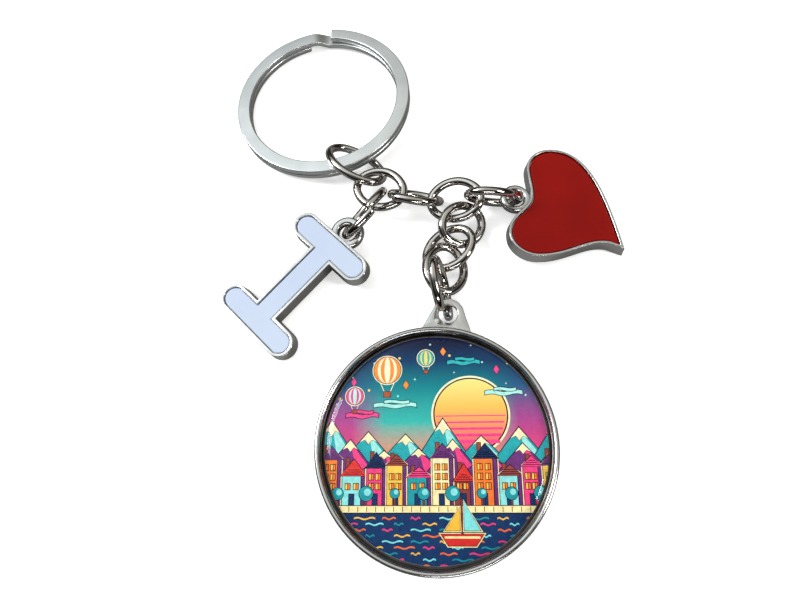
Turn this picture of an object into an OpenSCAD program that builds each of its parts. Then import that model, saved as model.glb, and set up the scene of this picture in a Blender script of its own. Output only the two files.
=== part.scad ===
// Souvenir keychain: a split ring, ten wire links, a letter charm, a heart charm and a domed medallion.
// It lies flat on a table at z = 0. The origin is under the middle of its box.

/* [Split ring] */
// Outside diameter of the split ring
ring_od = 32; // [26:0.5:36]
// Radial width of its flat wire
ring_w = 2.3; // [1.8:0.1:2.6]
// Thickness of one turn of its flat wire
ring_t = 1.1; // [0.8:0.05:1.3]

/* [Links] */
// Wire diameter of every link
wire_d = 1.4; // [1:0.05:1.45]
// Length of a chain link along its wire's middle
chain_len = 8.4; // [8.2:0.1:8.6]
// Width of a chain link along its wire's middle
chain_wid = 6.6; // [6.4:0.1:6.8]
// Length of a jump link along its wire's middle
jump_len = 9.6; // [9.4:0.1:9.8]
// Gap between the cut ends of an opened link
seam_gap = 0.12; // [0.05:0.01:0.3]

/* [Charms] */
// Thickness of the cast charms
charm_t = 2.5; // [2:0.1:3]
// Width of the bare metal rim around the letter's enamel
rim_w = 0.62; // [0.4:0.02:0.9]
// Width of the bare metal rim around the heart's enamel
heart_rim_w = 0.54; // [0.4:0.02:0.9]
// Depth of the pocket that holds the enamel
enamel_t = 0.6; // [0.3:0.05:1]
// Height of the letter
letter_h = 21.4; // [21:0.1:22]
// Length of the letter's two bars
letter_bar = 15.8; // [12:0.1:17]
// Width of the letter's bars and stem
letter_w = 4.6; // [4:0.1:5]

/* [Medallion] */
// Outside diameter of the medallion
medal_od = 36; // [34:0.5:37]
// Diameter of the printed disc
print_d = 33.2; // [30:0.2:33.2]
// Height of the raised rim
medal_t = 2.9; // [2.6:0.1:3.4]
// Height of the clear dome above the print at its middle
dome_h = 1.5; // [1:0.1:2]

/* [Hidden] */
$fn = 64;

wire_r = wire_d / 2;
end_thin = 0.01;
end_lap = 1;

// Ovals along the wire's middle: length, width and the radius of the two ends.
chain_size = [chain_len, chain_wid, 2.6];
jump_size = [jump_len, chain_wid, 2.6];
ring_link_size = [10.6, 7.4, 2.9];
drop_a_size = [7.8, 6.4, 2.6];

// Where an opened link is cut, in degrees from its side's middle, and how many degrees its end is bent.
heart_cut = [8, 3];
drop_a_cut = [-14, 2];
medal_cut = [20, 9];
letter_cut = [10, 8];

// Where each link lies: the middle of its oval, then its turns about x, y and z.
// The long axis of the oval is its own x axis.
ring_link_at = [[-10.5, 17.8, 2.8], [-34, 4, -37]];
hub_at = [[-6.2, 12.4, 3.3], [5, -6, -24]];
riser_at = [[-0.1, 10.3, 3.6], [-50, 24, 4]];
fork_at = [[6.5, 9.6, 3.6], [8, -12, -2]];
heart_link_at = [[12.8, 9.3, 4.6], [-70, 39, 10]];
drop_a_at = [[7.5, 5.3, 2.8], [26, 22, 29]];
drop_b_at = [[5.2, 1.5, 2], [-14, -12, 34]];
drop_c_at = [[4.5, -2.3, 2.4], [23, 10, 82]];
medal_link_at = [[3.7, -6.5, 4.7], [-71, 42, -74]];
letter_link_at = [[-8.7, 7.7, 3.6], [-57, -13, 46]];

// The split ring leans on the ring link, so it is turned a little about a level line.
ring_at = [-17.1, 32.1];
ring_tilt = 3;
ring_tilt_way = 49;
ring_mid_r = (ring_od - ring_w) / 2;
ring_edge = 0.15;
joggle_inset = 0.02;
turn_gap = 0.06;
start_a = 86.5;
joggle_a = 13;
joggle_lap = 0.6;
tail_a = 4;

// Loops and holes that the links run through.
loop_hole_r = 1.45;
loop_r = 2.8;
loop_t = 1.5;
letter_at = [-20.1, -4.1];
letter_turn = -44.5;
letter_tilt = 5;
loop_out = 1.5;
bail_at = [16.4, 10];
bail_hole_r = 1.4;
bail_r = 2.5;
bail_neck = 3;
bail_reach = 3.6;
heart_tilt = 5;
heart_tip = [16.6, -9.8];

medal_at = [2.3, -30.1];
medal_turn = -7;
medal_r = medal_od / 2;
tab_out = 20.3;
tab_r = 2.5;
tab_hole_r = 1.5;
tab_z = 1.55;
tab_t = 0.9;
tab_foot = 4.1;
tab_root = 17;
tab_touch = 25;
tab_lap = 0.4;
plate_t = 1.5;
print_t = 0.15;
groove_w = 0.45;
groove_z = 1.2;
foot_edge = 0.3;
dome_edge = 0.5;
dome_power = 16;

// ---- Split ring ----

// Section of one turn of the flat wire about its middle, shrunk by inset, with its corners taken off.
function wire_section(inset) =
    let (
        w = ring_w / 2 - inset,
        h = (ring_t - turn_gap) / 2 - inset,
        c = ring_edge
    )
    [
        [-w, -h + c], [-w + c, -h], [w - c, -h], [w, -h + c],
        [w, h - c], [w - c, h], [-w + c, h], [-w, h - c]
    ];

// Part of one turn at height z, from the angle a over a sweep of s degrees.
module turn(a, s, z) {
    rotate_extrude(angle = s, start = a, $fn = 120)
        translate([ring_mid_r, z])
            polygon(wire_section(0));
}

// The short sloping stretch where the wire drops from height z1 to height z2.
module joggle(a, s, z1, z2) {
    steps = 10;
    section = wire_section(joggle_inset);
    n = len(section);
    rings = [
        for (i = [0:steps])
            let (
                t = a + s * i / steps,
                z = z1 + (z2 - z1) * (1 - cos(180 * i / steps)) / 2
            )
            for (p = section) [(ring_mid_r + p[0]) * cos(t), (ring_mid_r + p[0]) * sin(t), z + p[1]]
    ];
    sides = [
        for (i = [0:steps - 1])
            for (j = [0:n - 1])
                [i * n + j, i * n + (j + 1) % n, (i + 1) * n + (j + 1) % n, (i + 1) * n + j]
    ];
    first = [for (j = [n - 1:-1:0]) j];
    last = [for (j = [0:n - 1]) steps * n + j];
    polyhedron(points = rings, faces = concat(sides, [first], [last]), convexity = 4);
}

module split_ring() {
    level = ring_t / 2;
    top_sweep = 360 - joggle_a;
    low_sweep = 360 - joggle_a - tail_a;
    low_start = start_a - low_sweep;
    lift = ring_od / 2 * sin(ring_tilt) + ring_t * cos(ring_tilt);
    color("gainsboro")
        translate([ring_at[0], ring_at[1], lift])
            rotate(a = ring_tilt, v = [-cos(90 - ring_tilt_way), -sin(90 - ring_tilt_way), 0]) {
                turn(start_a - top_sweep, top_sweep, level);
                turn(low_start, low_sweep, -level);
                joggle(start_a - joggle_lap, joggle_a + 2 * joggle_lap, -level, level);
            }
}

// ---- Links ----

// One arc of round wire in the plane z = 0, about the point c.
module wire_arc(c, r, a, s, thin = 0) {
    translate([c[0], c[1], 0])
        rotate_extrude(angle = s, start = a, $fn = 96)
            translate([r, 0]) circle(r = wire_r - thin, $fn = 32);
}

// An end arc, made a hair thinner and a little longer so that it is held by its neighbours.
module end_arc(c, r, a, s) wire_arc(c, r, a - end_lap, s + 2 * end_lap, end_thin);

// Radius of the two flatter sides of an oval of length o[0] and width o[1] whose ends have the radius o[2].
function side_r(o) = (pow(o[0] / 2 - o[2], 2) + pow(o[1] / 2, 2) - o[2] * o[2]) / (o[1] - 2 * o[2]);

// Angle at which an end arc meets a side arc.
function meet_a(o) = atan2(side_r(o) - o[1] / 2, o[0] / 2 - o[2]);

// Closed oval link made of four tangent arcs.
module oval_link(o) {
    r = side_r(o);
    m = meet_a(o);
    end_x = o[0] / 2 - o[2];
    side_y = r - o[1] / 2;
    end_arc([end_x, 0], o[2], -m, 2 * m);
    end_arc([-end_x, 0], o[2], 180 - m, 2 * m);
    wire_arc([0, -side_y], r, m, 180 - 2 * m);
    wire_arc([0, side_y], r, 180 + m, 180 - 2 * m);
}

// The same oval, cut through its side at -y at the angle cut[0] from that side's middle.
// The end at +x is bent out of the plane by cut[1] degrees, as a link is left by pliers.
module cut_link(o, cut) {
    r = side_r(o);
    m = meet_a(o);
    end_x = o[0] / 2 - o[2];
    side_y = r - o[1] / 2;
    half_gap = seam_gap / 2 / r * 180 / PI;
    bend = [end_x + o[2] * cos(m), o[2] * sin(m), 0];
    end_arc([-end_x, 0], o[2], 180 - m, 2 * m);
    wire_arc([0, -side_y], r, m, 180 - 2 * m);
    wire_arc([0, side_y], r, 180 + m, 90 + cut[0] - half_gap - m);
    translate(bend)
        rotate(a = cut[1], v = [-sin(m), cos(m), 0])
            translate(-bend) {
                end_arc([end_x, 0], o[2], -m, 2 * m);
                wire_arc([0, side_y], r, 270 + cut[0] + half_gap, 90 - cut[0] - half_gap - m);
            }
}

// Puts a link at its place: p[0] is the middle and p[1] the turns.
module place(p) {
    color("silver") translate(p[0]) rotate(p[1]) children();
}

module link_ring() {
    place(ring_link_at) oval_link(ring_link_size);
}

module link_hub() {
    place(hub_at) oval_link(chain_size);
}

module link_riser() {
    place(riser_at) oval_link(chain_size);
}

module link_fork() {
    place(fork_at) oval_link(chain_size);
}

module link_heart() {
    place(heart_link_at) cut_link(jump_size, heart_cut);
}

module link_drop_a() {
    place(drop_a_at) cut_link(drop_a_size, drop_a_cut);
}

module link_drop_b() {
    place(drop_b_at) oval_link(chain_size);
}

module link_drop_c() {
    place(drop_c_at) oval_link(chain_size);
}

module link_medallion() {
    place(medal_link_at) cut_link(jump_size, medal_cut);
}

module link_letter() {
    place(letter_link_at) cut_link(jump_size, letter_cut);
}

// ---- Letter charm ----

// Plain capital I with round-ended bars, drawn with its stem along y and shrunk by inset on every side.
module letter_outline(inset) {
    r = letter_w / 2 - inset;
    for (s = [-1, 1])
        translate([0, s * (letter_h - letter_w) / 2]) {
            square([letter_bar - letter_w, 2 * r], center = true);
            for (e = [-1, 1])
                translate([e * (letter_bar - letter_w) / 2, 0]) circle(r = r);
        }
    square([2 * r, letter_h - letter_w], center = true);
}

// The letter's loop end is propped up by its link, so it stands on the far end of its lower bar.
module place_letter() {
    translate([letter_at[0], letter_at[1], letter_h / 2 * sin(letter_tilt)])
        rotate([0, 0, letter_turn])
            rotate([letter_tilt, 0, 0])
                children();
}

module letter_body() {
    loop_y = letter_h / 2 + loop_out;
    color("silver")
        place_letter()
            difference() {
                union() {
                    linear_extrude(charm_t) letter_outline(0);
                    translate([0, loop_y, 0]) cylinder(r = loop_r, h = loop_t);
                }
                translate([0, 0, charm_t - enamel_t]) linear_extrude(enamel_t + 1) letter_outline(rim_w);
                translate([0, loop_y, -1]) cylinder(r = loop_hole_r, h = loop_t + 2);
            }
}

module letter_enamel() {
    color("aliceblue")
        place_letter()
            translate([0, 0, charm_t - enamel_t])
                linear_extrude(enamel_t) letter_outline(rim_w);
}

// ---- Heart charm ----

// Point at f on the cubic curve through a and d, with the handles b and c.
function bezier(a, b, c, d, f) =
    pow(1 - f, 3) * a + 3 * f * pow(1 - f, 2) * b + 3 * f * f * (1 - f) * c + pow(f, 3) * d;

// Swept heart, measured from the middle of its bail, as six curves that run into each other.
heart_curves = [
    [[2.35, 0.4], [2.35, 2.2], [2, 3.2], [2, 4.9]],
    [[2, 4.9], [2, 7.2], [4, 8.7], [6.2, 8.7]],
    [[6.2, 8.7], [12.7, 8.7], [14.9, 0.2], heart_tip],
    [heart_tip, [12, -6.9], [8.8, -11.1], [3, -11.1]],
    [[3, -11.1], [0.5, -11.1], [-1.7, -9.3], [-1.7, -6.9]],
    [[-1.7, -6.9], [-1.7, -3.2], [2.35, -2.8], [2.35, 0.4]]
];

module heart_outline(inset) {
    steps = 12;
    points = [
        for (c = heart_curves)
            for (i = [0:steps - 1])
                bezier(c[0], c[1], c[2], c[3], i / steps)
    ];
    offset(delta = -inset) polygon(points);
}

// The bail end is propped up by its link, so the heart stands on its tip.
module place_heart() {
    translate([bail_at[0] + heart_tip[0], bail_at[1], 0])
        rotate([0, heart_tilt, 0])
            translate([-heart_tip[0], 0, 0])
                children();
}

module heart_body() {
    color("silver")
        place_heart()
            difference() {
                union() {
                    linear_extrude(charm_t) heart_outline(0);
                    cylinder(r = bail_r, h = loop_t);
                    translate([0, -bail_neck / 2, 0]) cube([bail_reach, bail_neck, loop_t]);
                }
                translate([0, 0, charm_t - enamel_t])
                    linear_extrude(enamel_t + 1) heart_outline(heart_rim_w);
                translate([0, 0, -1]) cylinder(r = bail_hole_r, h = loop_t + 2);
            }
}

module heart_enamel() {
    color("firebrick")
        place_heart()
            translate([0, 0, charm_t - enamel_t])
                linear_extrude(enamel_t) heart_outline(heart_rim_w);
}

// ---- Medallion ----

module place_medal() {
    translate([medal_at[0], medal_at[1], 0]) rotate([0, 0, medal_turn]) children();
}

// Half section of the tray: a flat plate, a wall with a rolled rim, and a groove beside the print.
module bezel_section() {
    print_r = print_d / 2;
    bead_r = (medal_r - print_r - groove_w) / 2;
    bead_x = medal_r - bead_r;
    bead_z = medal_t - bead_r;
    polygon([
        [0, 0], [medal_r - foot_edge, 0], [medal_r, foot_edge], [medal_r, bead_z],
        [bead_x - bead_r, bead_z], [bead_x - bead_r, groove_z],
        [print_r, groove_z], [print_r, plate_t], [0, plate_t]
    ]);
    translate([bead_x, bead_z]) circle(r = bead_r, $fn = 32);
}

// Flat eye: a round end with straight sides that run down behind the rim.
module tab_outline() {
    side_x = tab_r * cos(tab_touch);
    side_y = tab_out + tab_r * sin(tab_touch);
    polygon([[-tab_foot, tab_root], [tab_foot, tab_root], [side_x, side_y], [-side_x, side_y]]);
    translate([0, tab_out]) circle(r = tab_r);
}

module medallion_bezel() {
    color("silver")
        place_medal()
            difference() {
                union() {
                    rotate_extrude($fn = 180)
                        intersection() {
                            bezel_section();
                            square([medal_r, medal_t]);
                        }
                    translate([0, 0, tab_z])
                        linear_extrude(tab_t)
                            difference() {
                                tab_outline();
                                circle(r = medal_r - tab_lap, $fn = 180);
                            }
                }
                translate([0, tab_out, 0]) cylinder(r = tab_hole_r, h = medal_t);
            }
}

module medallion_print() {
    color("teal")
        place_medal()
            translate([0, 0, plate_t])
                cylinder(r = print_d / 2, h = print_t, $fn = 180);
}

// Height of the clear cap at the fraction f of its radius: a shallow crown whose edge rolls over.
function dome_z(f) = (dome_h - dome_edge) * (1 - f * f) + dome_edge * sqrt(1 - pow(f, dome_power));

module medallion_dome() {
    steps = 18;
    crown = [
        for (i = [steps:-1:0])
            let (f = sin(90 * i / steps)) [print_d / 2 * f, dome_z(f)]
    ];
    color("lightcyan")
        place_medal()
            translate([0, 0, plate_t + print_t])
                rotate_extrude($fn = 180)
                    polygon(concat([[0, 0]], crown));
}

split_ring();
link_ring();
link_hub();
link_riser();
link_fork();
link_heart();
link_drop_a();
link_drop_b();
link_drop_c();
link_medallion();
link_letter();
letter_body();
letter_enamel();
heart_body();
heart_enamel();
medallion_bezel();
medallion_print();
medallion_dome();
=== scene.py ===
import math

import bmesh
import bpy
from mathutils import Matrix, Vector


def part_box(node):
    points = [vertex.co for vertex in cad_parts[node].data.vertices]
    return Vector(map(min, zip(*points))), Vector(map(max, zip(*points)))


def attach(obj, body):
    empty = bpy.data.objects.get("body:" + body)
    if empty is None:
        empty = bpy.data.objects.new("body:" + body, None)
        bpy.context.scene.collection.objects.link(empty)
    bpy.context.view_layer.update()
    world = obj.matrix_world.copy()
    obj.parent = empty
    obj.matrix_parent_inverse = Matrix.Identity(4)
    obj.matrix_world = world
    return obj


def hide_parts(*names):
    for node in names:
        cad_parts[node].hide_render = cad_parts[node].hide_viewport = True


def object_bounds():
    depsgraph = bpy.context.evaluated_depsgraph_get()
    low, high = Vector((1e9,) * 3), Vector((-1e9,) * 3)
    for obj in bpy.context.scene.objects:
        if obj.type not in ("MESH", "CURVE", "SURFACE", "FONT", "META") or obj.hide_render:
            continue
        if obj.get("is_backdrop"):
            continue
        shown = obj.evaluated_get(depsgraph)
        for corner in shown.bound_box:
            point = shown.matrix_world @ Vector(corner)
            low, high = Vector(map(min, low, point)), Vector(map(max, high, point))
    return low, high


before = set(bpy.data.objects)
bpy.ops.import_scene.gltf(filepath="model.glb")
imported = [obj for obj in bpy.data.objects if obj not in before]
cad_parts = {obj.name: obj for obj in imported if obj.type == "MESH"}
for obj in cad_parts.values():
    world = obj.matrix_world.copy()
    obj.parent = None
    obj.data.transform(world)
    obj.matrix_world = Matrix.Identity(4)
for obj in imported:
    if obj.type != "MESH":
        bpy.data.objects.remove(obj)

CAD_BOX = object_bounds()
MM = 0.001

# The keychain's sizes in millimetres and its angles in degrees, as the CAD has them.
RING_AT = (-17.1, 32.1)
RING_OD = 32.0
RING_W = 2.3
RING_T = 1.1
RING_GAP = 0.06
RING_START = 86.5
RING_JOGGLE = 13.0
RING_TAIL = 4.0
RING_TILT = 3.0
RING_TILT_WAY = 49.0
RING_SPRING = 0.6
WIRE_R = 0.7
SEAM_GAP = 0.12
# length and width of each kind of link along its wire's middle, and the radius of its ends
CHAIN = (8.4, 6.6, 2.6)
JUMP = (9.6, 6.6, 2.6)
RING_LINK = (10.6, 7.4, 2.9)
SMALL_LINK = (7.8, 6.4, 2.6)
# each link's size, its middle, its turns about x, y and z in degrees, and how it is cut:
# the angle of the cut from its side's middle, and how far the cut end is bent
LINKS = {
    "ring": (RING_LINK, (-10.5, 17.8, 2.8), (-34, 4, -37), None),
    "hub": (CHAIN, (-6.2, 12.4, 3.3), (5, -6, -24), None),
    "riser": (CHAIN, (-0.1, 10.3, 3.6), (-50, 24, 4), None),
    "fork": (CHAIN, (6.5, 9.6, 3.6), (8, -12, -2), None),
    "heart": (JUMP, (12.8, 9.3, 4.6), (-70, 39, 10), (8, 3)),
    "drop_a": (SMALL_LINK, (7.5, 5.3, 2.8), (26, 22, 29), (-14, 2)),
    "drop_b": (CHAIN, (5.2, 1.5, 2), (-14, -12, 34), None),
    "drop_c": (CHAIN, (4.5, -2.3, 2.4), (23, 10, 82), None),
    "medallion": (JUMP, (3.7, -6.5, 4.7), (-71, 42, -74), (20, 9)),
    "letter": (JUMP, (-8.7, 7.7, 3.6), (-57, -13, 46), (10, 8)),
}
CHARM_T = 2.5
LOOP_T = 1.5
LETTER_H = 21.4
LETTER_BAR = 15.8
LETTER_W = 4.6
LETTER_TURN = -44.5
LETTER_TILT = 5.0
LETTER_LOOP = (1.45, 2.8)
LETTER_LOOP_OUT = 1.5
HEART_TIP = Vector((16.6, -9.8))
HEART_TOP = 8.7
HEART_TILT = 5.0
HEART_BAIL = (1.4, 2.5)
LETTER_RIM = 0.62
HEART_RIM = 0.54
POCKET = 0.6
MEDAL_R = 18.0
MEDAL_T = 2.9
MEDAL_TURN = -7.0
PRINT_R = 16.6
PLATE_T = 1.5
PRINT_T = 0.15
DOME_H = 1.5
TAB_OUT = 20.3
TAB_HOLE = 1.5
TAB_R = 2.5
TAB_Z = (1.55, 2.45)
TAB_FOOT = (4.1, 17.0)


# ---- Camera ----

def make_camera():
    """Above the medallion's near side, looking down and a little up the chain."""
    data = bpy.data.cameras.new("camera")
    data.lens = 27
    data.sensor_width = 36
    data.clip_start = 0.005
    data.clip_end = 10
    camera = bpy.data.objects.new("camera", data)
    bpy.context.scene.collection.objects.link(camera)
    camera.location = Vector((4.5, -39.9, 92.7)) * MM
    camera.rotation_euler = (math.radians(19.7), math.radians(4.66), 0)
    bpy.context.scene.camera = camera


# ---- Stage and light ----

def make_floor():
    """A wide pale sheet that the keychain lies on."""
    half = 1.5
    mesh = bpy.data.meshes.new("floor")
    corners = [(-half, -half, 0), (half, -half, 0), (half, half, 0), (-half, half, 0)]
    mesh.from_pydata(corners, [], [(0, 1, 2, 3)])
    floor = bpy.data.objects.new("floor", mesh)
    floor.location.z = -0.00003
    bpy.context.scene.collection.objects.link(floor)
    mesh.materials.append(make_paper())
    floor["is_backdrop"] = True


def make_paper():
    """White paper that throws less light back on the metal than it shows."""
    mat, shader = new_material("floor_paper")
    tree = mat.node_tree
    shader.inputs["Roughness"].default_value = 0.9
    shader.inputs["Specular IOR Level"].default_value = 0.1
    ray = tree.nodes.new("ShaderNodeLightPath")
    shade = add_colours(mat, ray.outputs["Is Camera Ray"], (0.26, 0.255, 0.25), (0.97, 0.97, 0.97))
    tree.links.new(shade, shader.inputs["Base Color"])
    shader.inputs["Emission Color"].default_value = (1, 1, 1, 1)
    glow = add_range(mat, ray.outputs["Is Camera Ray"], 0, 0.50, 0, 1)
    tree.links.new(glow, shader.inputs["Emission Strength"])
    return mat


def make_world():
    """A dim studio: dark at eye level, paler overhead, cool on the left and warm on the right.

    The metal mirrors it. Past the floor's edge the picture shows a plain pale backdrop instead.
    """
    world = bpy.data.worlds.new("studio")
    bpy.context.scene.world = world
    world.use_nodes = True
    tree = world.node_tree
    place = tree.nodes.new("ShaderNodeTexCoord")
    split = tree.nodes.new("ShaderNodeSeparateXYZ")
    tree.links.new(place.outputs["Generated"], split.inputs[0])
    height = tree.nodes.new("ShaderNodeValToRGB")
    fill_ramp(height, [
        (0.0, (0.28, 0.27, 0.26)),
        (0.07, (0.035, 0.028, 0.022)),
        (0.47, (0.035, 0.030, 0.026)),
        (0.62, (0.55, 0.55, 0.55)),
        (0.72, (0.95, 0.95, 0.95)),
        (1.0, (0.98, 0.98, 0.98)),
    ])
    tree.links.new(split.outputs["Z"], height.inputs[0])
    side = tree.nodes.new("ShaderNodeMapRange")
    side.inputs["From Min"].default_value = -0.35
    side.inputs["From Max"].default_value = 0.35
    tree.links.new(split.outputs["X"], side.inputs["Value"])
    tint = tree.nodes.new("ShaderNodeValToRGB")
    fill_ramp(tint, [(0.0, (1.36, 1.44, 1.46)), (0.45, (0.84, 0.85, 0.81)), (1.0, (0.68, 0.67, 0.64))])
    tree.links.new(side.outputs[0], tint.inputs[0])
    both = tree.nodes.new("ShaderNodeMix")
    both.data_type = "RGBA"
    both.blend_type = "MULTIPLY"
    both.inputs["Factor"].default_value = 1
    tree.links.new(height.outputs["Color"], both.inputs["A"])
    tree.links.new(tint.outputs["Color"], both.inputs["B"])
    near = tree.nodes.new("ShaderNodeMapRange")
    near.inputs["From Min"].default_value = -0.30
    near.inputs["From Max"].default_value = 0.02
    near.inputs["To Min"].default_value = 0.10
    tree.links.new(split.outputs["Y"], near.inputs["Value"])
    shaded = tree.nodes.new("ShaderNodeMix")
    shaded.data_type = "RGBA"
    shaded.inputs["A"].default_value = (0, 0, 0, 1)
    tree.links.new(near.outputs[0], shaded.inputs["Factor"])
    tree.links.new(both.outputs["Result"], shaded.inputs["B"])
    ray = tree.nodes.new("ShaderNodeLightPath")
    seen = tree.nodes.new("ShaderNodeMix")
    seen.data_type = "RGBA"
    seen.inputs["B"].default_value = (1, 1, 1, 1)
    tree.links.new(ray.outputs["Is Camera Ray"], seen.inputs["Factor"])
    tree.links.new(shaded.outputs["Result"], seen.inputs["A"])
    back = tree.nodes["Background"]
    tree.links.new(seen.outputs["Result"], back.inputs["Color"])
    back.inputs["Strength"].default_value = 1.0


def make_light(name, place, size, power, colour):
    """A soft rectangular lamp at a place in metres, turned towards the keychain."""
    data = bpy.data.lights.new(name, "AREA")
    data.shape = "RECTANGLE"
    data.size = size[0]
    data.size_y = size[1]
    data.energy = power
    data.color = colour
    lamp = bpy.data.objects.new(name, data)
    lamp.location = place
    lamp.rotation_euler = (-Vector(place)).to_track_quat("-Z", "Y").to_euler()
    bpy.context.scene.collection.objects.link(lamp)


def make_lights():
    """A window on the left, a lamp on the right and a strip in front."""
    make_light("window", (-0.46, 0.12, 0.42), (0.22, 0.26), 3.0, (0.96, 0.985, 1.0))
    make_light("lamp", (0.48, -0.18, 0.36), (0.10, 0.20), 1.6, (1.0, 0.98, 0.95))
    make_light("strip", (0.12, -0.55, 0.26), (0.36, 0.04), 0.8, (1.0, 1.0, 1.0))


# ---- Materials ----

def linear(code):
    """A linear colour from a hex code such as 8fd3e8."""
    parts = [int(code[i:i + 2], 16) / 255 for i in (0, 2, 4)]
    return tuple(p / 12.92 if p <= 0.04045 else ((p + 0.055) / 1.055) ** 2.4 for p in parts)


def fill_ramp(node, stops):
    """Sets a colour ramp's stops from (position, colour) pairs."""
    ramp = node.color_ramp
    while len(ramp.elements) < len(stops):
        ramp.elements.new(0.5)
    for element, (position, colour) in zip(ramp.elements, stops):
        element.position = position
        element.color = (*colour, 1)


def new_material(name):
    """A material and its Principled shader."""
    mat = bpy.data.materials.new(name)
    mat.use_nodes = True
    return mat, mat.node_tree.nodes["Principled BSDF"]


def add_noise(mat, scale, detail=3.0):
    """Noise in the piece's own coordinates, with scale in cycles per metre."""
    tree = mat.node_tree
    place = tree.nodes.new("ShaderNodeTexCoord")
    noise = tree.nodes.new("ShaderNodeTexNoise")
    noise.inputs["Scale"].default_value = scale
    noise.inputs["Detail"].default_value = detail
    tree.links.new(place.outputs["Object"], noise.inputs["Vector"])
    return noise.outputs["Fac"]


def add_range(mat, value, low, high, start=0.35, end=0.65):
    """value, read from start to end, as a number from low to high."""
    node = mat.node_tree.nodes.new("ShaderNodeMapRange")
    node.inputs["From Min"].default_value = start
    node.inputs["From Max"].default_value = end
    node.inputs["To Min"].default_value = low
    node.inputs["To Max"].default_value = high
    mat.node_tree.links.new(value, node.inputs["Value"])
    return node.outputs[0]


def add_colours(mat, value, first, second):
    """A colour between two, chosen by value."""
    node = mat.node_tree.nodes.new("ShaderNodeMix")
    node.data_type = "RGBA"
    node.inputs["A"].default_value = (*first, 1)
    node.inputs["B"].default_value = (*second, 1)
    mat.node_tree.links.new(value, node.inputs["Factor"])
    return node.outputs["Result"]


def add_bump(mat, shader, height, depth, strength):
    """Raises the surface by height times depth, in metres."""
    node = mat.node_tree.nodes.new("ShaderNodeBump")
    node.inputs["Strength"].default_value = strength
    node.inputs["Distance"].default_value = depth
    mat.node_tree.links.new(height, node.inputs["Height"])
    mat.node_tree.links.new(node.outputs["Normal"], shader.inputs["Normal"])


def plated_metal(name, bright, dull, shine, worn, wave=0.5):
    """Polished plating: smudges in its colour and roughness, and faint waves left by buffing."""
    mat, shader = new_material(name)
    link = mat.node_tree.links.new
    shader.inputs["Metallic"].default_value = 1
    smudge = add_noise(mat, 260)
    link(add_colours(mat, add_range(mat, smudge, 0, 1), bright, dull), shader.inputs["Base Color"])
    link(add_range(mat, add_noise(mat, 900), shine, worn), shader.inputs["Roughness"])
    add_bump(mat, shader, add_noise(mat, 420, 2.0), 0.00004, wave)
    return mat


def brushed_ring(name, centre):
    """Satin steel whose fine scratches run round the ring."""
    mat, shader = new_material(name)
    tree = mat.node_tree
    link = tree.links.new
    shader.inputs["Metallic"].default_value = 1
    place = tree.nodes.new("ShaderNodeTexCoord")
    offset = tree.nodes.new("ShaderNodeVectorMath")
    offset.operation = "SUBTRACT"
    offset.inputs[1].default_value = (centre[0], centre[1], 0)
    link(place.outputs["Object"], offset.inputs[0])
    flat = tree.nodes.new("ShaderNodeVectorMath")
    flat.operation = "MULTIPLY"
    flat.inputs[1].default_value = (1, 1, 0)
    link(offset.outputs[0], flat.inputs[0])
    radius = tree.nodes.new("ShaderNodeVectorMath")
    radius.operation = "LENGTH"
    link(flat.outputs[0], radius.inputs[0])
    lines = tree.nodes.new("ShaderNodeTexNoise")
    lines.noise_dimensions = "1D"
    lines.inputs["Scale"].default_value = 9000
    lines.inputs["Detail"].default_value = 4
    link(radius.outputs["Value"], lines.inputs["W"])
    cloud = add_noise(mat, 180)
    colour = add_colours(mat, add_range(mat, cloud, 0, 1), (0.74, 0.76, 0.76), (0.64, 0.66, 0.66))
    link(colour, shader.inputs["Base Color"])
    link(add_range(mat, lines.outputs["Fac"], 0.26, 0.32), shader.inputs["Roughness"])
    add_bump(mat, shader, lines.outputs["Fac"], 0.000003, 0.08)
    return mat


def enamel(name, colour, deep):
    """Glossy enamel, a touch darker in its thicker patches, with a fine orange-peel surface."""
    mat, shader = new_material(name)
    link = mat.node_tree.links.new
    patch = add_range(mat, add_noise(mat, 120), 0, 1)
    link(add_colours(mat, patch, colour, deep), shader.inputs["Base Color"])
    link(add_range(mat, add_noise(mat, 700), 0.18, 0.26), shader.inputs["Roughness"])
    shader.inputs["Specular IOR Level"].default_value = 0.12
    add_bump(mat, shader, add_noise(mat, 600, 2.0), 0.00002, 0.3)
    return mat


def printed_ink(name, upper, lower, span=(-16.6, 16.6), centre_y=0.0):
    """Flat ink that runs from one colour to another up the picture, with a fine grain."""
    mat, shader = new_material(name)
    tree = mat.node_tree
    place = tree.nodes.new("ShaderNodeTexCoord")
    split = tree.nodes.new("ShaderNodeSeparateXYZ")
    tree.links.new(place.outputs["Object"], split.inputs[0])
    low = centre_y + span[0] * MM
    high = centre_y + span[1] * MM
    rise = add_range(mat, split.outputs["Y"], 0, 1, low, high)
    base = add_colours(mat, rise, linear(lower), linear(upper))
    grain = tree.nodes.new("ShaderNodeHueSaturation")
    tree.links.new(base, grain.inputs["Color"])
    tree.links.new(add_range(mat, add_noise(mat, 1500, 4.0), 0.88, 1.10), grain.inputs["Value"])
    tree.links.new(grain.outputs["Color"], shader.inputs["Base Color"])
    tree.links.new(add_range(mat, add_noise(mat, 2500), 0.45, 0.6), shader.inputs["Roughness"])
    shader.inputs["Specular IOR Level"].default_value = 0.05
    return mat


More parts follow.
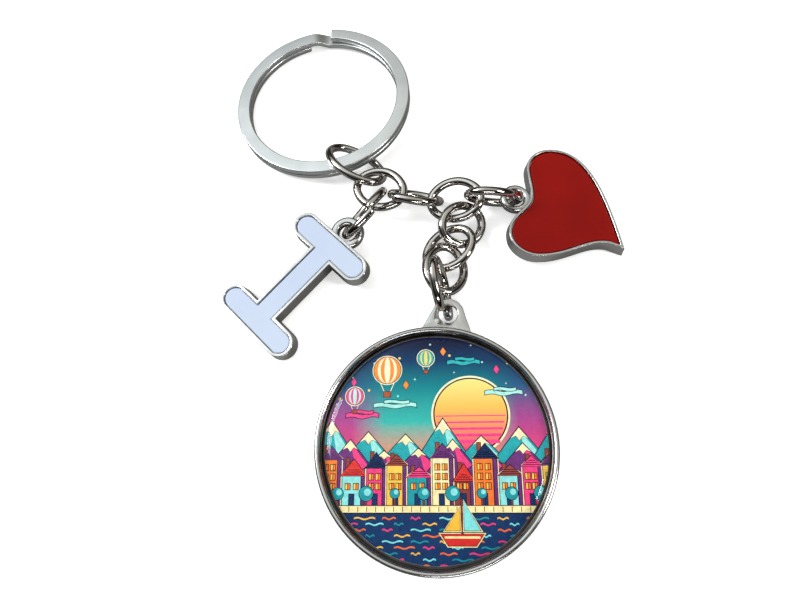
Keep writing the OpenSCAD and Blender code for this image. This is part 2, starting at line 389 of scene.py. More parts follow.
def clear_resin(name):
    """Clear cap: the picture shows straight through, and only its gloss is seen."""
    mat = bpy.data.materials.new(name)
    mat.use_nodes = True
    tree = mat.node_tree
    tree.nodes.clear()
    out = tree.nodes.new("ShaderNodeOutputMaterial")
    mix = tree.nodes.new("ShaderNodeMixShader")
    clear = tree.nodes.new("ShaderNodeBsdfTransparent")
    clear.inputs["Color"].default_value = (0.97, 0.98, 0.985, 1)
    gloss = tree.nodes.new("ShaderNodeBsdfGlossy")
    gloss.inputs["Roughness"].default_value = 0.03
    edge = tree.nodes.new("ShaderNodeLayerWeight")
    edge.inputs["Blend"].default_value = 0.06
    share = add_range(mat, edge.outputs["Facing"], 0.008, 1.0, 0, 1)
    bump = tree.nodes.new("ShaderNodeBump")
    bump.inputs["Strength"].default_value = 0.15
    bump.inputs["Distance"].default_value = 0.00003
    tree.links.new(add_noise(mat, 150, 2.0), bump.inputs["Height"])
    tree.links.new(bump.outputs["Normal"], gloss.inputs["Normal"])
    tree.links.new(share, mix.inputs["Fac"])
    tree.links.new(clear.outputs[0], mix.inputs[1])
    tree.links.new(gloss.outputs[0], mix.inputs[2])
    tree.links.new(mix.outputs[0], out.inputs["Surface"])
    return mat


# ---- Mesh helpers ----

def add_loop(bm, points):
    return [bm.verts.new(p) for p in points]


def bridge(bm, lower, upper, material=0):
    """A band of quads between two closed loops of as many points."""
    n = len(lower)
    for i in range(n):
        j = (i + 1) % n
        bm.faces.new((lower[i], lower[j], upper[j], upper[i])).material_index = material


def finish_piece(bm, name, place, materials, body, cad_nodes, smooth_below=35, weighted=True):
    """Turns a mesh in millimetres into a piece that rides on a body and stands for CAD nodes."""
    bmesh.ops.recalc_face_normals(bm, faces=bm.faces[:])
    bm.transform(Matrix.Scale(MM, 4) @ place)
    mesh = bpy.data.meshes.new(name)
    bm.to_mesh(mesh)
    bm.free()
    mesh.shade_smooth()
    mesh.set_sharp_from_angle(angle=math.radians(smooth_below))
    for mat in materials:
        mesh.materials.append(mat)
    piece = bpy.data.objects.new(name, mesh)
    bpy.context.scene.collection.objects.link(piece)
    if weighted:
        fix = piece.modifiers.new("weighted", "WEIGHTED_NORMAL")
        fix.keep_sharp = True
    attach(piece, body)
    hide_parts(*cad_nodes)


def rounded_steps(radius, steps=4):
    """(inset, drop) pairs round a quarter circle, from the side face to the flat face."""
    turns = [math.radians(90 * i / steps) for i in range(steps + 1)]
    return [(radius * (1 - math.cos(t)), radius * (1 - math.sin(t))) for t in turns]


def body_profile(top, edge_low, edge_high, draft):
    """(inset, z) up the outside of a cast body, round both of its edges."""
    low = [(inset, drop) for inset, drop in reversed(rounded_steps(edge_low))]
    high = [(inset + draft, top - drop) for inset, drop in rounded_steps(edge_high)]
    return low + high


def shifted(outline, inset, z):
    """The outline moved inwards by inset. Each of its points holds a place and a way in."""
    return [(p.x + w.x * inset, p.y + w.y * inset, z) for p, w in outline]


def loft(bm, outline, profile):
    """Stacks the outline up a profile and returns its first and last loops."""
    loops = [add_loop(bm, shifted(outline, inset, z)) for inset, z in profile]
    for lower, upper in zip(loops, loops[1:]):
        bridge(bm, lower, upper)
    return loops[0], loops[-1]


def add_washer(bm, centre, hole, outer, low, high, edge, sides=72):
    """A flat ring with rounded edges."""
    steps = rounded_steps(edge, 6)
    section = [(outer - i, high - d) for i, d in steps]
    section += [(hole + i, high - d) for i, d in reversed(steps)]
    section += [(hole + i, low + d) for i, d in steps]
    section += [(outer - i, low + d) for i, d in reversed(steps)]
    loops = []
    for k in range(sides):
        turn = 2 * math.pi * k / sides
        loops.append(add_loop(bm, [
            (centre[0] + r * math.cos(turn), centre[1] + r * math.sin(turn), z) for r, z in section
        ]))
    for k in range(sides):
        bridge(bm, loops[k], loops[(k + 1) % sides])


def arc_points(centre, radius, start, end, steps):
    """Points round an arc, each with its way in towards the centre."""
    found = []
    for i in range(steps + 1):
        turn = math.radians(start + (end - start) * i / steps)
        out = Vector((math.cos(turn), math.sin(turn)))
        found.append((Vector(centre) + out * radius, -out))
    return found


def make_charm(name, outline, place, rim, metal, colour, add_loops):
    """A cast charm with a raised rim, and the enamel that fills its pocket."""
    edge = 0.1
    floor_z = CHARM_T - POCKET
    # the walls flare a little towards the foot, as a casting leaves its mould
    flare = 0.16
    profile = body_profile(CHARM_T, 0.25, edge, flare)
    inner = flare + rim - 0.12
    profile += [(inner - i, CHARM_T - d) for i, d in reversed(rounded_steps(0.1, 3))]
    profile += [(inner + 0.06, floor_z)]
    profile = [(inset - flare, z) for inset, z in profile]
    bm = bmesh.new()
    first, last = loft(bm, outline, profile)
    bm.faces.new(first)
    bm.faces.new(last)
    add_loops(bm)
    finish_piece(bm, name + "_casting", place, [metal], name, [name + "_body"])
    bm = bmesh.new()
    level = CHARM_T - 0.16
    fill = [(rim, floor_z + 0.01), (rim, level - 0.20)]
    fill += [(rim + 0.04, level - 0.08), (rim + 0.12, level - 0.02), (rim + 0.28, level)]
    first, last = loft(bm, outline, fill)
    bm.faces.new(first)
    bm.faces.new(last)
    finish_piece(bm, name + "_fill", place, [colour], name, [name + "_enamel"])


# ---- Split ring ----

def ring_section(steps=3):
    """Places round the flat wire's section as (across, up), its corners rounded."""
    edge = 0.2
    half_w = RING_W / 2
    half_h = (RING_T - RING_GAP) / 2
    found = []
    for quarter, (sx, sy) in enumerate(((1, 1), (-1, 1), (-1, -1), (1, -1))):
        for i in range(steps + 1):
            turn = math.radians(90 * quarter + 90 * i / steps)
            across = sx * (half_w - edge) + edge * math.cos(turn)
            up = sy * (half_h - edge) + edge * math.sin(turn)
            found.append((across, up))
    return found


def ring_height(turn, rise_from):
    """Height of the wire's middle at an angle: low, up the joggle, then high."""
    f = min(1, max(0, (turn - rise_from) / RING_JOGGLE))
    return RING_T / 2 * (6 * f * f - 4 * f ** 3 - 1)


def make_ring(metal):
    """Two turns of flat wire in one sweep, with the joggle between them."""
    radius = (RING_OD - RING_W) / 2
    start = RING_START - 360 + RING_JOGGLE + RING_TAIL
    rise_from = RING_START
    end = RING_START + 360
    section = ring_section()
    steps = 460
    bm = bmesh.new()
    loops = []
    for i in range(steps + 1):
        turn = start + (end - start) * i / steps
        angle = math.radians(turn)
        height = ring_height(turn, rise_from)
        # the cut ends are filed a little smaller
        left = min(i, steps - i)
        slim = (0.06, 0.015)[left] if left < 2 else 0
        # the upper free end springs out a little
        bent = radius + RING_SPRING * max(0, (turn - end + 100) / 100) ** 2
        loops.append(add_loop(bm, [
            (
                (bent + across * (1 - slim)) * math.cos(angle),
                (bent + across * (1 - slim)) * math.sin(angle),
                height + up * (1 - slim),
            )
            for across, up in section
        ]))
    for lower, upper in zip(loops, loops[1:]):
        bridge(bm, lower, upper)
    bm.faces.new(loops[0])
    bm.faces.new(loops[-1])
    tilt = math.radians(RING_TILT)
    way = math.radians(90 - RING_TILT_WAY)
    lift = RING_OD / 2 * math.sin(tilt) + RING_T * math.cos(tilt)
    lean = Matrix.Rotation(tilt, 4, Vector((-math.cos(way), -math.sin(way), 0)))
    place = Matrix.Translation((*RING_AT, lift)) @ lean
    finish_piece(bm, "ring_wire", place, [metal], "split_ring", ["split_ring"], 50)


# ---- Links ----

def link_path(size, cut):
    """Places along a link's wire, each with the way out from the link's middle.

    The path is an oval of four arcs. It starts and ends at the cut, which is in its side at -y,
    or at that side's middle if the link is closed.
    """
    length, width, end_r = size
    end_x = length / 2 - end_r
    side_r = (end_x ** 2 + (width / 2) ** 2 - end_r ** 2) / (width - 2 * end_r)
    side_y = side_r - width / 2
    meet = math.degrees(math.atan2(side_y, end_x))
    angle = cut[0] if cut else 0
    gap = math.degrees(SEAM_GAP / 2 / side_r) if cut else 0
    arcs = [
        ((0, side_y), side_r, 270 + angle + gap, 360 - meet, 20),
        ((end_x, 0), end_r, -meet, meet, 34),
        ((0, -side_y), side_r, meet, 180 - meet, 40),
        ((-end_x, 0), end_r, 180 - meet, 180 + meet, 34),
        ((0, side_y), side_r, 180 + meet, 270 + angle - gap, 20),
    ]
    found = []
    for centre, r, start, end, steps in arcs:
        points = [(p, -w) for p, w in arc_points(centre, r, start, end, steps)]
        found += points if not found else points[1:]
    turn = math.radians(meet)
    bend = Vector((end_x + end_r * math.cos(turn), end_r * math.sin(turn)))
    return found, bend, meet


def make_link(name, metal):
    """Round wire bent into an oval. An opened link's cut end stays a little out of its plane."""
    size, middle, turns, cut = LINKS[name]
    path, bend, meet = link_path(size, cut)
    stations = [(p.to_3d(), w.to_3d(), Vector((0, 0, 1))) for p, w in path]
    if cut:
        axis = Vector((-math.sin(math.radians(meet)), math.cos(math.radians(meet)), 0))
        twist = Matrix.Rotation(math.radians(cut[1]), 3, axis)
        hinge = bend.to_3d()
        # the stretch from the cut to the far end of the end arc is what the pliers moved
        moved = next(i for i, (p, w) in enumerate(path) if (p - bend).length < 1e-4)
        for i in range(moved):
            p, w, up = stations[i]
            stations[i] = (hinge + twist @ (p - hinge), twist @ w, twist @ up)
    else:
        stations.pop()
    sides = 28
    bm = bmesh.new()
    loops = []
    for i, (p, w, up) in enumerate(stations):
        left = min(i, len(stations) - 1 - i)
        r = WIRE_R * (0.93 if cut and left == 0 else 1)
        turns_round = [2 * math.pi * k / sides for k in range(sides)]
        loops.append(add_loop(bm, [p + w * r * math.cos(t) + up * r * math.sin(t) for t in turns_round]))
    for lower, upper in zip(loops, loops[1:]):
        bridge(bm, lower, upper)
    if cut:
        bm.faces.new(loops[0])
        bm.faces.new(loops[-1])
    else:
        bridge(bm, loops[-1], loops[0])
    about_x, about_y, about_z = (Matrix.Rotation(math.radians(a), 4, axis) for a, axis in zip(turns, "XYZ"))
    lean = about_z @ about_y @ about_x
    place = Matrix.Translation(middle) @ lean
    body = "link_" + name
    finish_piece(bm, body + "_wire", place, [metal], body, [body], 50, weighted=False)


# ---- Letter ----

def letter_outline():
    """Capital I with round-ended bars, counter-clockwise, its stem along y."""
    r = LETTER_W / 2
    end_x = LETTER_BAR / 2 - r
    bar_y = LETTER_H / 2 - r
    inner_y = LETTER_H / 2 - LETTER_W
    corner = lambda sx, sy: [(Vector((sx * r, sy * inner_y)), Vector((-sx, sy)))]
    found = corner(1, 1)
    found += arc_points((end_x, bar_y), r, -90, 90, 24)
    found += arc_points((-end_x, bar_y), r, 90, 270, 24)
    found += corner(-1, 1) + corner(-1, -1)
    found += arc_points((-end_x, -bar_y), r, 90, 270, 24)
    found += arc_points((end_x, -bar_y), r, -90, 90, 24)
    found += corner(1, -1)
    return found


def make_letter(metal, colour):
    low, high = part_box("letter_enamel")
    centre = (low + high) / 2 / MM
    tilt = math.radians(LETTER_TILT)
    turn = math.radians(LETTER_TURN)
    # the enamel's middle lies above the letter's own middle, along its tilted axis
    up = CHARM_T - POCKET / 2
    lean = Matrix.Rotation(turn, 4, "Z") @ Matrix.Rotation(tilt, 4, "X")
    origin = centre - lean @ Vector((0, 0, up))
    place = Matrix.Translation((origin.x, origin.y, LETTER_H / 2 * math.sin(tilt))) @ lean

    def add_loops(bm):
        loop_y = LETTER_H / 2 + LETTER_LOOP_OUT
        add_washer(bm, (0, loop_y), *LETTER_LOOP, 0, LOOP_T, 0.5)

    make_charm("letter", letter_outline(), place, LETTER_RIM, metal, colour, add_loops)


# ---- Heart ----

def bezier(a, b, c, d, f):
    """Point at f on the cubic curve through a and d."""
    g = 1 - f
    return a * g ** 3 + b * (3 * f * g * g) + c * (3 * f * f * g) + d * f ** 3


def heart_outline():
    """Swept heart measured from the middle of its bail, clockwise, as six curves."""
    curves = [
        [(2.35, 0.4), (2.35, 2.2), (2, 3.2), (2, 4.9)],
        [(2, 4.9), (2, 7.2), (4, HEART_TOP), (6.2, HEART_TOP)],
        [(6.2, HEART_TOP), (12.7, HEART_TOP), (14.9, 0.2), tuple(HEART_TIP)],
        [tuple(HEART_TIP), (12, -6.9), (8.8, -11.1), (3, -11.1)],
        [(3, -11.1), (0.5, -11.1), (-1.7, -9.3), (-1.7, -6.9)],
        [(-1.7, -6.9), (-1.7, -3.2), (2.35, -2.8), (2.35, 0.4)],
    ]
    steps = 24
    places = []
    for curve in curves:
        a, b, c, d = [Vector(p) for p in curve]
        places += [bezier(a, b, c, d, i / steps) for i in range(steps)]
    # no point lies so near the tip that moving the outline inwards would cross it over
    places = [p for p in places if p == HEART_TIP or (p - HEART_TIP).length > 2.3]
    n = len(places)
    found = []
    for i, p in enumerate(places):
        before = (p - places[i - 1]).normalized()
        after = (places[(i + 1) % n] - p).normalized()
        # the way in is to the right of a clockwise outline, and longer where it turns sharply
        normals = [Vector((v.y, -v.x)) for v in (before, after)]
        middle = (normals[0] + normals[1]).normalized()
        found.append((p, middle / max(middle.dot(normals[0]), 0.36)))
    return found


def make_heart(metal, colour):
    low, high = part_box("heart_body")
    tilt = math.radians(HEART_TILT)
    tip = Vector((HEART_TIP.x, 0, 0))
    bail_y = high.y / MM - HEART_TOP
    # the bail's rim is the charm's left end, and the charm leans about its tip
    bail_x = low.x / MM + (HEART_TIP.x + HEART_BAIL[1]) * math.cos(tilt) - HEART_TIP.x
    lean = Matrix.Translation(tip) @ Matrix.Rotation(tilt, 4, "Y") @ Matrix.Translation(-tip)
    place = Matrix.Translation((bail_x, bail_y, 0)) @ lean

    def add_loops(bm):
        add_washer(bm, (0, 0), *HEART_BAIL, 0, LOOP_T, 0.5)

    make_charm("heart", heart_outline(), place, HEART_RIM, metal, colour, add_loops)


# ---- Medallion ----

def medal_centre():
    low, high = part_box("medallion_print")
    return (low + high) / 2 / MM


def add_revolved(bm, profile, sides=192):
    """A profile of (radius, z) turned about z. Ends on the axis are closed to a point."""
    loops = []
    for r, z in profile:
        if r == 0:
            loops.append([bm.verts.new((0, 0, z))])
        else:
            turns = [2 * math.pi * k / sides for k in range(sides)]
            loops.append(add_loop(bm, [(r * math.cos(t), r * math.sin(t), z) for t in turns]))
    for lower, upper in zip(loops, loops[1:]):
        if len(lower) == 1 or len(upper) == 1:
            hub = lower[0] if len(lower) == 1 else upper[0]
            edge = upper if len(lower) == 1 else lower
            for i in range(sides):
                bm.faces.new((hub, edge[i], edge[(i + 1) % sides]))
        else:
            bridge(bm, lower, upper)


def tab_reach(turn):
    """Distance from the tab's hole to its outer edge in the direction turn, in radians."""
    foot_x, foot_y = TAB_FOOT
    drop = TAB_OUT - foot_y
    foot = Vector((foot_x, -drop))
    # the sides leave the round end where they touch it
    touch = math.atan2(foot.y, foot.x) + math.acos(TAB_R / foot.length)
    reach = Vector((abs(math.cos(turn)), math.sin(turn)))
    if math.atan2(reach.y, reach.x) >= touch:
        return TAB_R
    normal = Vector((math.cos(touch), math.sin(touch)))
    side = TAB_R / max(reach.dot(normal), 1e-6)
    if reach.y < 0:
        return min(side, drop / -reach.y)
    return side


def add_tab(bm):
    """The flat eye that the medallion hangs by."""
    sides = 96
    edge = 0.16
    low, high = TAB_Z
    steps = rounded_steps(edge, 3)
    rows = [(True, i, low + d) for i, d in reversed(steps)] + [(True, i, high - d) for i, d in steps]
    rows += [(False, i, high - d) for i, d in reversed(steps)] + [(False, i, low + d) for i, d in steps]
    loops = []
    for outer, inset, z in rows:
        points = []
        for k in range(sides):
            turn = 2 * math.pi * k / sides
            reach = tab_reach(turn) - inset if outer else TAB_HOLE + inset
            points.append((reach * math.cos(turn), TAB_OUT + reach * math.sin(turn), z))
        loops.append(add_loop(bm, points))
    for k in range(len(loops)):
        bridge(bm, loops[k], loops[(k + 1) % len(loops)])


def make_tray(metal, shade):
    """Round tray with a rolled bead, a groove beside the picture and the eye. The groove and its inner wall
    get painted shade: a near-black second material standing for the shadow in that recess.
    """
    centre = medal_centre()
    turned = Matrix.Rotation(math.radians(MEDAL_TURN), 4, "Z")
    place = Matrix.Translation((centre.x, centre.y, 0)) @ turned
    bead = 0.42
    groove_z = 1.15
    wall = MEDAL_R - 2 * bead
    foot = [(0, 0), (MEDAL_R - 1.2, 0)]
    foot += [(MEDAL_R - 0.06 - i, d) for i, d in reversed(rounded_steps(0.35))]
    side = [(MEDAL_R - 0.06, 1.5), (MEDAL_R - 0.02, 1.9)]
    over = []
    for i in range(13):
        turn = math.pi * i / 12
        over.append((MEDAL_R - bead + bead * math.cos(turn), MEDAL_T - bead + bead * math.sin(turn)))
    seat_z = PLATE_T - 0.02
    inside = [(wall - 0.02, 2.05), (wall - 0.16, 1.98)]
    inside += [(wall - 0.18, groove_z + 0.1), (wall - 0.22, groove_z)]
    inside += [(PRINT_R + 0.05, groove_z), (PRINT_R, groove_z + 0.08)]
    inside += [(PRINT_R, seat_z), (0, seat_z)]
    bm = bmesh.new()
    add_revolved(bm, foot + side + over + inside)
    # the groove's faces and its inner wall take the second material, near-black painted shade for the
    # shadow in the recess
    for face in bm.faces:
        middle = face.calc_center_median()
        if PRINT_R + 0.01 < middle.xy.length < wall and middle.z > 1:
            face.material_index = 1
    add_tab(bm)
    nodes = ["medallion_bezel"]
    finish_piece(bm, "medallion_tray", place, [metal, shade], "medallion", nodes, 40)


def make_dome(resin):
    """Clear cap: a shallow crown whose edge rolls over to the picture's edge."""
    edge_h = 0.5
    steps = 40
    profile = []
    for i in range(steps + 1):
        f = math.sin(math.radians(90 * i / steps))
        z = (DOME_H - edge_h) * (1 - f * f) + edge_h * math.sqrt(max(0, 1 - f ** 16))
        profile.append((PRINT_R * f, z))
    place = Matrix.Translation((medal_centre().x, medal_centre().y, PLATE_T + PRINT_T))
    bm = bmesh.new()
    add_revolved(bm, profile)
    nodes = ["medallion_dome"]
    finish_piece(bm, "medallion_lens", place, [resin], "medallion", nodes, 60, weighted=False)


# ---- Picture under the dome ----

# Each ink runs from its first colour, near the top of the picture, to its second.
INKS = {
    "sky": ("101a3c", "f7a24b"),
    "glow": ("58c4c0", "f2e77a"),
    "night": ("131c46", "1c3a66"),
    "cream": ("fff6cf", "ffe9a4"),
    "teal": ("34b9bb", "1f8f9c"),
    "pale": ("b4f2e6", "7fdcdc"),
    "pink": ("fb4f93", "f03c78"),
    "orange": ("ff9440", "f9702c"),
    "yellow": ("ffe070", "ffbe3e"),
    "plum": ("84408a", "5a2c66"),
    "brown": ("b4553a", "7c3540"),
    "red": ("f0433c", "d8322f"),
    "line": ("080c24", "10081c"),
}
# the step from one layer of ink to the next, and the sun's middle, in millimetres
LAYER = 0.0017
SUN = (5.4, 4.4)
QUAY = -8.6


def cut_to_disc(points, radius, sides=120):
    """The part of a closed outline that lies on the picture's disc."""
    for k in range(sides):
        turn = 2 * math.pi * (k + 0.5) / sides
        n = (math.cos(turn), math.sin(turn))
        over = [p[0] * n[0] + p[1] * n[1] - radius for p in points]
        if not over or max(over) <= 0:
            continue
        kept = []
        for i, p in enumerate(points):
            q = points[i - 1]
            if (over[i] > 0) != (over[i - 1] > 0):
                f = over[i - 1] / (over[i - 1] - over[i])
                kept.append((q[0] + (p[0] - q[0]) * f, q[1] + (p[1] - q[1]) * f))
            if over[i] <= 0:
                kept.append(p)
        points = kept
    return points


class Picture:
    """A stack of thin flat shapes, each a hair above those that it covers."""

    def __init__(self, radius):
        self.bm = bmesh.new()
        self.radius = radius
        self.placed = []
        self.names = list(INKS)

    def level(self, box):
        """The first level above every shape whose bounds meet this one's."""
        under = [
            lv for lv, b in self.placed
            if b[0] < box[2] and box[0] < b[2] and b[1] < box[3] and box[1] < b[3]
        ]
        return max(under, default=-1) + 1

    def add(self, points, ink):
        """One flat shape in one ink."""
        kept = []
        for p in cut_to_disc(points, self.radius):
            if not kept or math.dist(p, kept[-1]) > 0.004:
                kept.append(p)
        if len(kept) > 1 and math.dist(kept[0], kept[-1]) <= 0.004:
            kept.pop()
        if len(kept) < 3:
            return
        us = [p[0] for p in kept]
        vs = [p[1] for p in kept]
        box = (min(us), min(vs), max(us), max(vs))
        level = self.level(box)
        self.placed.append((level, box))
        face = self.bm.faces.new([self.bm.verts.new((u, v, level * LAYER)) for u, v in kept])
        face.material_index = self.names.index(ink)

    def edged(self, points, ink, grow=0.14):
        """A shape with a dark line round it."""
        self.add(grown(points, grow), "line")
        self.add(points, ink)

    def haloed(self, points, ink, grow=0.14):
        """A shape with a dark line and a pale line round it."""
        self.add(grown(points, 2.4 * grow), "cream")
        self.edged(points, ink, grow)


def grown(points, by):
    """The same closed outline moved outwards by a small step."""
    n = len(points)
    following = points[1:] + points[:1]
    area = sum(p[0] * q[1] - q[0] * p[1] for p, q in zip(points, following))
    way = 1 if area > 0 else -1
    found = []
    for i in range(n):
        p = Vector(points[i])
        out = Vector((0, 0))
        for v in (p - Vector(points[i - 1]), Vector(following[i]) - p):
            if v.length > 1e-9:
                out += Vector((v.y, -v.x)).normalized()
        if out.length > 1e-9:
            out /= max(out.length_squared / 2, 0.5)
        found.append(tuple(p + out * by * way))
    return found


def disc(u, v, r, n=48):
    turns = [2 * math.pi * i / n for i in range(n)]
    return [(u + r * math.cos(t), v + r * math.sin(t)) for t in turns]


def box_shape(u0, v0, u1, v1):
    return [(u0, v0), (u1, v0), (u1, v1), (u0, v1)]


def squiggle(start, end, middle, height, waves, width, n=40):
    """A wavy line from start to end."""
    upper = []
    lower = []
    for i in range(n + 1):
        f = i / n
        u = start + (end - start) * f
        v = middle + height * math.sin(waves * math.pi * f)
        upper.append((u, v + width / 2))
        lower.append((u, v - width / 2))
    return lower + upper[::-1]


def draw_sky(art):
    """Scattered stars, long flat clouds and a low striped sun."""
    art.add(disc(0, 0, PRINT_R, 120), "sky")
    for k in range(46):
        turn = 2.4 * k
        away = 2.3 * math.sqrt(k + 2)
        u = away * math.cos(turn)
        v = 8.0 + 0.7 * away * math.sin(turn)
        if v > 6.5:
            art.add(disc(u, v, 0.10 + 0.05 * (k % 3), 12), ("cream", "pale", "yellow")[k % 3])
    for k, (u, v) in enumerate(((1.5, 14.2), (9.6, 11.2), (-4.3, 9.0), (-12.4, 9.6))):
        diamond = [(u + 0.45, v), (u, v + 0.7), (u - 0.45, v), (u, v - 0.7)]
        art.edged(diamond, ("orange", "pink")[k % 2], 0.08)
    art.add(disc(SUN[0], SUN[1], 5.9, 72), "cream")
    art.add(disc(SUN[0], SUN[1], 5.6, 72), "line")
    art.add(disc(SUN[0], SUN[1], 5.4, 72), "glow")
    for k in range(5):
        half = 5.2 - 0.25 * k
        stripe = squiggle(SUN[0] - half, SUN[0] + half, 4.2 - 0.95 * k, 0.0, 1, 0.16 + 0.09 * k)
        art.add(stripe, "pink")
    for u, v, long, ink in ((-6.0, 5.9, 6.5, "pale"), (-11.0, 4.4, 5.0, "pink"), (10.5, 7.6, 5.6, "pale"),
                            (4.6, 12.4, 5.0, "teal")):
        cloud = squiggle(u - long / 2, u + long / 2, v, 0.16, 3, 0.55)
        art.edged(cloud, ink, 0.1)
        art.edged(squiggle(u - long / 4, u + long / 3, v + 0.55, 0.1, 2, 0.4), ink, 0.1)


def draw_balloons(art):
    """Striped hot-air balloons, each with a small basket."""
    for u, v, r, first, second in ((-7.2, 11.4, 2.1, "orange", "cream"), (-12.2, 7.4, 1.3, "pink", "pale"),
                                   (-1.2, 13.2, 1.2, "teal", "yellow")):
        for side in (-1, 1):
            art.add([(u + side * 0.62 * r, v - 0.75 * r), (u + side * 0.56 * r, v - 0.75 * r),
                     (u + side * 0.18 * r, v - 1.65 * r), (u + side * 0.24 * r, v - 1.65 * r)], "cream")
        art.haloed(disc(u, v, r), first, 0.09)
        for share in (0.72, 0.5, 0.22):
            ink = second if share != 0.5 else first
            art.add([(u + share * r * math.cos(t), v + 0.985 * r * math.sin(t))
                     for t in (math.pi * i / 16 for i in range(32))], ink)
        art.edged(box_shape(u - 0.26 * r, v - 2.0 * r, u + 0.26 * r, v - 1.6 * r), "brown", 0.07)


def draw_mountains(art):
    """Two ranges of pointed mountains with pale caps, each lit from the right."""
    for dark, lit, foot, tall, wide, start, step in (
        ("teal", "pale", -3.6, 7.4, 4.9, -15.6, 5.6),
        ("plum", "pink", -4.6, 5.4, 4.4, -17.8, 5.1),
    ):
        for k in range(8):
            u = start + k * step
            high = tall * (0.8 + 0.2 * math.sin(2.3 * k + tall))
            top = foot + high
            art.edged([(u - wide, foot), (u + wide, foot), (u, top)], dark, 0.14)
            art.add([(u + 0.25 * wide, foot), (u + 0.9 * wide, foot), (u + 0.04, top - 0.3)], lit)
            art.edged([
                (u, top),
                (u - 0.26 * wide, top - 0.26 * high),
                (u - 0.1 * wide, top - 0.2 * high),
                (u, top - 0.32 * high),
                (u + 0.12 * wide, top - 0.2 * high),
                (u + 0.26 * wide, top - 0.26 * high),
            ], "cream", 0.06)


def draw_window(art, u, v, half, high):
    """One framed window with two lit panes."""
    art.add(box_shape(u - half - 0.1, v - 0.1, u + half + 0.1, v + high + 0.1), "line")
    art.add(box_shape(u - half, v, u - 0.05, v + high), "yellow")
    art.add(box_shape(u + 0.05, v, u + half, v + high), "orange")


def draw_houses(art):
    """A waterside row of narrow gabled houses with lit windows, doors and chimneys."""
    walls = ("orange", "pale", "pink", "yellow", "teal", "cream", "brown")
    roofs = ("plum", "red", "night", "brown", "pink")
    u = -17.0
    for k in range(11):
        wide = 3.0 + 0.4 * math.sin(1.9 * k)
        high = 5.2 + 1.7 * math.sin(2.7 * k + 1.0)
        top = QUAY + high
        middle = u + wide / 2
        peak = top + 1.5 + 0.5 * math.sin(1.3 * k)
        art.edged(box_shape(u + 0.5, top, u + 1.0, peak + 0.5), "brown", 0.08)
        wall = [(u, QUAY), (u + wide, QUAY), (u + wide, top), (middle, peak), (u, top)]
        art.haloed(wall, walls[k % 7], 0.1)
        art.add(box_shape(u + 0.8 * wide, QUAY, u + wide, top), "line")
        art.add(box_shape(u + 0.84 * wide, QUAY, u + wide, top), "plum")
        roof = [(u - 0.25, top - 0.1), (u + wide + 0.25, top - 0.1), (middle, peak + 0.3)]
        art.edged(roof, roofs[k % 5], 0.1)
        for j in range(3):
            art.add(box_shape(u + 0.15 + 0.35 * j, top + 0.1 + 0.3 * j, u + wide - 0.15 - 0.35 * j,
                              top + 0.2 + 0.3 * j), "line")
        rows = int((high - 2.0) / 1.35)
        for row in range(rows):
            for share in (0.24, 0.6):
                draw_window(art, u + share * wide, -6.3 + 1.35 * row, 0.33, 0.8)
        art.edged(box_shape(u + 0.3 * wide, -8.5, u + 0.3 * wide + 0.75, -6.95), "night", 0.07)
        u += wide + 0.25


def draw_trees(art):
    """Round trees along the quay."""
    for k in range(8):
        u = -14.4 + 4.2 * k
        r = 0.85 + 0.2 * math.sin(2.1 * k)
        art.edged(box_shape(u - 0.12, -8.8, u + 0.12, -7.4), "brown", 0.06)
        art.edged(disc(u, -6.9, r, 28), "teal", 0.09)
        art.add(disc(u + 0.2, -6.7, 0.5 * r, 20), "pale")


def draw_water(art):
    """The quay's edge and the water in front of it, with reflections in short waves."""
    art.add(box_shape(-17, -17, 17, -8.9), "night")
    art.edged(box_shape(-17, -9.5, 17, -8.6), "cream", 0.1)
    for k in range(26):
        art.add(box_shape(-16.6 + 1.3 * k, -9.4, -16.5 + 1.3 * k, -8.7), "line")
    inks = ("teal", "pink", "yellow", "pale", "orange")
    for row in range(9):
        for k in range(8):
            start = -16.0 + 4.1 * k + 1.7 * (row % 2)
            long = 2.2 + 0.9 * math.sin(1.7 * k + row)
            wave = squiggle(start, start + long, -10.3 - 0.78 * row, 0.12, 3, 0.22, n=14)
            art.add(wave, inks[(row + 2 * k) % 5])


def draw_boat(art):
    """A small boat under two sails."""
    art.haloed([(0.6, -12.4), (6.6, -12.4), (5.5, -13.9), (1.6, -13.9)], "red", 0.09)
    art.add(box_shape(1.1, -12.95, 6.1, -12.65), "cream")
    art.edged(box_shape(3.5, -12.3, 3.7, -7.7), "brown", 0.06)
    art.haloed([(3.9, -11.9), (6.2, -11.9), (3.9, -7.9)], "pale", 0.08)
    art.haloed([(3.3, -11.9), (1.2, -11.9), (3.3, -8.8)], "yellow", 0.08)


def make_art():
    """The printed picture, of the script's own design: a made-up waterside village at dusk."""
    centre = medal_centre()
    art = Picture(PRINT_R - 0.03)
    draw_sky(art)
    draw_balloons(art)
    draw_mountains(art)
    draw_houses(art)
    draw_trees(art)
    draw_water(art)
    draw_boat(art)
    inks = []
    for name, (upper, lower) in INKS.items():
        inks.append(printed_ink("ink_" + name, upper, lower, (-12, 8), centre.y * MM))
    paint_sky(inks[art.names.index("sky")], centre * MM)
    paint_glow(inks[art.names.index("glow")], centre * MM)
    place = Matrix.Translation((centre.x, centre.y, PLATE_T + 0.005))
    nodes = ["medallion_print"]
    finish_piece(art.bm, "medallion_art", place, inks, "medallion", nodes, weighted=False)


def add_math(mat, operation, first, second=0.0):
    """One sum on sockets or numbers."""
    node = mat.node_tree.nodes.new("ShaderNodeMath")
    node.operation = operation
    for socket, value in zip(node.inputs, (first, second)):
        if isinstance(value, (int, float)):
            socket.default_value = value
        else:
            mat.node_tree.links.new(value, socket)
    return node.outputs[0]


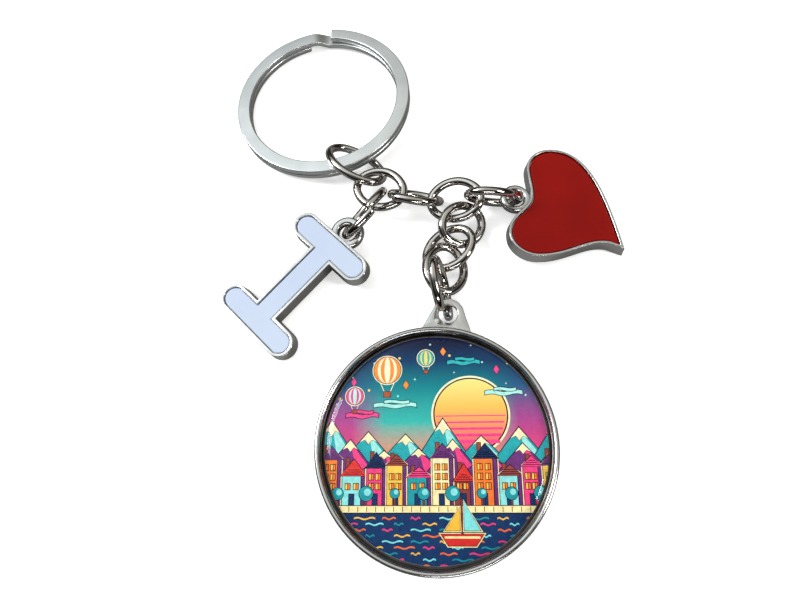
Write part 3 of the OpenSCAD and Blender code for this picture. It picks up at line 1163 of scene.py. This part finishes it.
def picture_place(mat, centre):
    """Distances right and up from the picture's centre, in millimetres."""
    tree = mat.node_tree
    place = tree.nodes.new("ShaderNodeTexCoord")
    split = tree.nodes.new("ShaderNodeSeparateXYZ")
    tree.links.new(place.outputs["Object"], split.inputs[0])
    across = add_math(mat, "MULTIPLY", add_math(mat, "SUBTRACT", split.outputs["X"], centre.x), 1 / MM)
    up = add_math(mat, "MULTIPLY", add_math(mat, "SUBTRACT", split.outputs["Y"], centre.y), 1 / MM)
    return across, up


def add_ramp(mat, value, stops):
    """A colour ramp from (position, hex code) pairs."""
    node = mat.node_tree.nodes.new("ShaderNodeValToRGB")
    fill_ramp(node, [(position, linear(code)) for position, code in stops])
    mat.node_tree.links.new(value, node.inputs[0])
    return node.outputs["Color"]


def add_mix(mat, share, first, second):
    """Two colour sockets mixed, or a colour socket and a hex code."""
    node = mat.node_tree.nodes.new("ShaderNodeMix")
    node.data_type = "RGBA"
    mat.node_tree.links.new(share, node.inputs["Factor"])
    mat.node_tree.links.new(first, node.inputs["A"])
    if isinstance(second, str):
        node.inputs["B"].default_value = (*linear(second), 1)
    else:
        mat.node_tree.links.new(second, node.inputs["B"])
    return node.outputs["Result"]


def paint_sky(mat, centre):
    """Night at the top, teal and then gold below, and rose at both sides."""
    shader = mat.node_tree.nodes["Principled BSDF"]
    across, up = picture_place(mat, centre)
    rise = add_range(mat, up, 0, 1, -PRINT_R, PRINT_R)
    middle = add_ramp(mat, rise, [
        (0.0, "ffb43c"), (0.30, "ffc860"), (0.44, "fb8f6a"),
        (0.60, "3fc0b4"), (0.76, "168a92"), (0.88, "12406a"), (0.97, "0a1436"),
    ])
    outer = add_ramp(mat, rise, [
        (0.0, "ff9a3c"), (0.30, "ff8a4a"), (0.46, "f2487e"),
        (0.62, "b04c94"), (0.76, "2b5f8c"), (0.88, "10284e"), (0.97, "081030"),
    ])
    side = add_range(mat, add_math(mat, "ABSOLUTE", across), 0, 1, 7.5, 12.5)
    mixed = add_mix(mat, side, middle, outer)
    grain = add_range(mat, add_noise(mat, 1500, 4.0), 0, 0.10)
    mat.node_tree.links.new(add_mix(mat, grain, mixed, "101a3c"), shader.inputs["Base Color"])


def paint_glow(mat, centre):
    """The sun: lemon at its top and rose at its foot."""
    shader = mat.node_tree.nodes["Principled BSDF"]
    up = picture_place(mat, centre)[1]
    rise = add_range(mat, up, 0, 1, -1, 10)
    base = add_ramp(mat, rise, [(0.0, "f0407c"), (0.3, "fb8f6a"), (0.6, "ffc860"), (1.0, "f6ef8e")])
    mat.node_tree.links.new(base, shader.inputs["Base Color"])


def main():
    make_camera()
    make_floor()
    make_world()
    make_lights()
    bpy.context.scene.view_settings.view_transform = "Standard"
    nickel = plated_metal("nickel", (0.60, 0.57, 0.54), (0.50, 0.47, 0.44), 0.06, 0.13, 0.25)
    cast = plated_metal("cast_nickel", (0.61, 0.61, 0.60), (0.56, 0.56, 0.55), 0.16, 0.24, 0.05)
    make_ring(brushed_ring("satin_steel", Vector(RING_AT) * MM))
    for name in LINKS:
        make_link(name, nickel)
    make_letter(cast, enamel("pale_enamel", (0.55, 0.63, 0.775), (0.52, 0.60, 0.755)))
    make_heart(cast, enamel("dark_red_enamel", (0.26, 0.004, 0.002), (0.215, 0.0035, 0.002)))
    # the tray's second material is painted shade: near-black metal standing for the shadow in the groove
    # round the picture
    make_tray(cast, plated_metal("painted_groove_shade", (0.10, 0.09, 0.085), (0.06, 0.055, 0.05), 0.25, 0.4))
    make_art()
    make_dome(clear_resin("clear_resin"))


main()
({
    "cad_box": [list(corner) for corner in CAD_BOX],
    "visual_box": [list(corner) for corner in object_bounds()],
})
